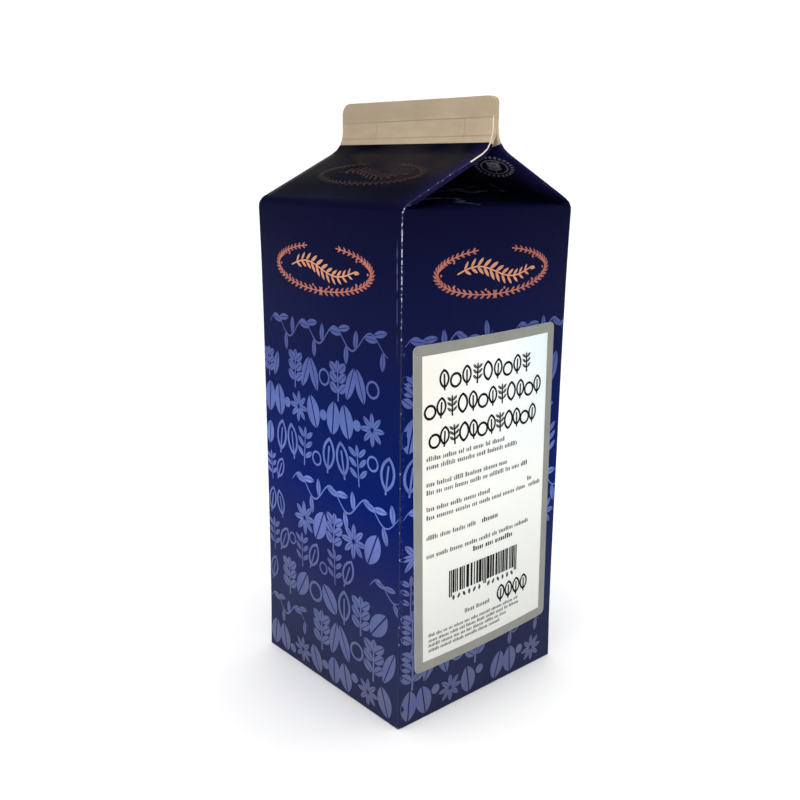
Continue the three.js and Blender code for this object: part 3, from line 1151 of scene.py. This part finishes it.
border = rounded_sheet("label_border")
edit_all(border)
bpy.ops.mesh.inset(thickness=LABEL_BORDER, depth=0)
bpy.ops.mesh.delete(type="FACE")
slice_up(border, LABEL_SLICE)
grey_ink = ink_finish("grey_ink", (142, 142, 136), (130, 131, 127), 0.42)
print_on(border, label_place, grey_ink, ON_LABEL)


HEADING = (heading_veined, heading_leaf, heading_ring, heading_sprig, heading_veined)


def heading_marks(left, right, level, height, count):
    """A line of black leaves, berries and sprigs, as large as a line of capitals."""
    marks = []
    for step in range(count):
        x = left + (step + 0.5) * (right - left) / count
        mark = HEADING[(step * 3 + count) % len(HEADING)]
        small = mark is heading_ring
        lift = -0.12 * height if small else 0
        marks.append(lay(mark, x, level + lift, (0.74 if small else 1.0) * height, random.uniform(-4, 4)))
    return marks


def word_marks(left, right, level, height):
    """A line of small print: words of short upright strokes, some of them taller."""
    marks = []
    x = left
    while x < right - height:
        for stroke in range(random.randint(3, 9)):
            tall = height * random.choice((0.7, 0.7, 0.75, 1.0))
            wide = height * random.uniform(0.22, 0.38)
            marks.append(lay(bar, x + wide / 2, level + tall / 2 - height / 2, tall, 0, wide))
            x += wide + 0.22 * height
        x += 0.5 * height
    return marks


# Each heading line: its left and right end and its level, from the middle of the label, and its marks.
HEADING_LINES = [(-28, 25, 54, 9), (-35, 32.5, 43, 12), (-32.5, 29.5, 31, 12)]
HEADING_HEIGHT = 8.6 * MM
LARGE_MARK = 8.4 * MM
black_marks = []
for left, right, level, count in HEADING_LINES:
    black_marks += heading_marks(left * MM, right * MM, level * MM, HEADING_HEIGHT, count)
black_marks += word_marks(-3.5 * MM, 6 * MM, -10 * MM, 2.2 * MM)
black_marks += word_marks(-8.5 * MM, 12 * MM, -21.5 * MM, 2.3 * MM)
for step in range(4):
    x = (9 + 5.1 * step) * MM
    black_marks.append(lay(heading_veined, x, -47.6 * MM, LARGE_MARK, random.uniform(-4, 4)))

# The bar code is made of random bars, with longer ones at each end and in the middle.
MODULES = 84
MODULE = 41 * MM / MODULES            # the thinnest bar
CODE_LEFT = -22 * MM
CODE_TOP = -27.6 * MM
GUARD_BAR = 12 * MM
CODE_BAR = 10.4 * MM
module = 0
while module < MODULES:
    guard = module < 3 or module > MODULES - 4 or abs(module - MODULES / 2) < 2
    width = 1 if guard else random.choice((1, 1, 2, 3))
    tall = GUARD_BAR if guard else CODE_BAR
    centre = CODE_LEFT + (module + width / 2) * MODULE
    black_marks.append(lay(bar, centre, CODE_TOP - tall / 2, tall, 0, (width + 0.3) * MODULE))
    module += width + (1 if guard else random.choice((1, 1, 2)))
for step in range(12):
    x = -19.5 + 3 * step + (2.5 if step > 5 else 0)
    black_marks.append(lay(slim_leaf, x * MM, -40.2 * MM, 2.7 * MM, random.choice((0, 30, -30)), 3.4 * MM))

black_print = join_marks(black_marks, "label_black_print")
black_ink = ink_finish("black_ink", (18, 18, 20), (32, 32, 34), 0.5)
print_on(black_print, label_place, black_ink, ON_LABEL)

# The small print: left end, right end and level of each line, from the middle of the label.
SMALL_LINES = [
    (-34, 4, 23.2), (-34, 12, 19.8), (-34, 12, 12.6), (-34, 24, 9.2), (-34, 4, 2.2), (-34, 20, -1.4),
    (25, 31, 1.6), (26, 33, -1.6), (-34, -6, -10), (-34, 20, -18), (-13, 0, -48.6),
]
small_marks = []
for left, right, level in SMALL_LINES:
    small_marks += word_marks(left * MM, right * MM, level * MM, 2.0 * MM)
for step in range(4):
    small_marks += word_marks(-33 * MM, (22 - 4 * step) * MM, (-53.4 - 2.3 * step) * MM, 1.5 * MM)
small_print = join_marks(small_marks, "label_small_print")
small_ink = ink_finish("small_ink", (88, 90, 94), (110, 112, 116), 0.5)
print_on(small_print, label_place, small_ink, ON_LABEL)

for pattern in (spot, bar, bold_leaf, slim_leaf, ring, line_leaf, star, sprig, line_sprig, veined_leaf,
                heading_leaf, heading_ring, heading_veined, heading_sprig, wreath, wreath_sprig):
    bpy.data.objects.remove(pattern)
for leftover in ("line_leaf_blank", "heading_leaf_blank", "stamp_ring"):
    bpy.data.objects.remove(bpy.data.objects[leftover])

# ----------------------------------------
# The studio: a pale floor, soft light from the left and above, and the camera.
# ----------------------------------------

bpy.ops.mesh.primitive_plane_add(size=60)
floor = name_piece("floor")
FLOOR_GREY = (238.4, 238.4, 238.4)
FLOOR_WHITE = (243.4, 243.4, 243.4)
floor_finish = new_finish("pale_floor", Roughness=0.7)
floor_tone = clouds(floor_finish, 3, 2)
feed(floor_finish, "Base Color", mixed(floor_tone, FLOOR_GREY, FLOOR_WHITE))
floor.data.materials.append(floor_finish)

# The studio is bright all round at the height of the floor and overhead, and dimmer between.
world = bpy.data.worlds.new("studio")
bpy.context.scene.world = world
world.use_nodes = True
view = add_node(world.node_tree, "TexCoord", {}).outputs["Generated"]
upward = add_node(world.node_tree, "SeparateXYZ", {"Vector": view}).outputs["Z"]
low_glow = spread(upward, 0.35, 0.42, 1.03, 0.1)
high_glow = spread(upward, 0.72, 0.86, 0.0, 2.9)
backdrop = world.node_tree.nodes["Background"]
backdrop.inputs["Color"].default_value = (1.0, 1.0, 1.0, 1.0)
world.node_tree.links.new(plus(low_glow, high_glow), backdrop.inputs["Strength"])


def soft_light(name, place, aim, size, power, colour):
    """A square lamp that faces a point."""
    lamp = bpy.data.lights.new(name, "AREA")
    lamp.size = size
    lamp.energy = power
    lamp.color = colour
    holder = bpy.data.objects.new(name, lamp)
    bpy.context.scene.collection.objects.link(holder)
    holder.location = place
    holder.rotation_euler = (Vector(aim) - Vector(place)).to_track_quat("-Z", "Y").to_euler()
    return holder


# Places and sizes in metres, power in watts.
middle = (0, 0, 0.12)
soft_light("key_light", (-1.1, -0.35, 0.3), middle, 0.5, 2.6, (1.0, 0.99, 0.97))
soft_light("front_light", (0.1, -1.2, 0.45), middle, 0.7, 0.9, (0.97, 0.99, 1.0))

CAMERA_PLACE = Vector((-267.0, -298.8, 225.2)) * MM
CAMERA_TURN = math.radians(41.07)     # from straight at the front, towards the left wall
CAMERA_PITCH = math.radians(-14.27)
CAMERA_ROLL = math.radians(0.44)
lens = bpy.data.cameras.new("camera")
lens.lens = 41.4
lens.sensor_width = 36
camera = bpy.data.objects.new("camera", lens)
bpy.context.scene.collection.objects.link(camera)
upright = Matrix.Rotation(math.pi / 2 + CAMERA_PITCH, 4, "X")
camera.matrix_world = (Matrix.Translation(CAMERA_PLACE) @ Matrix.Rotation(-CAMERA_TURN, 4, "Z")
                       @ upright @ Matrix.Rotation(CAMERA_ROLL, 4, "Z"))
bpy.context.scene.camera = camera
bpy.context.scene.view_settings.view_transform = "Standard"
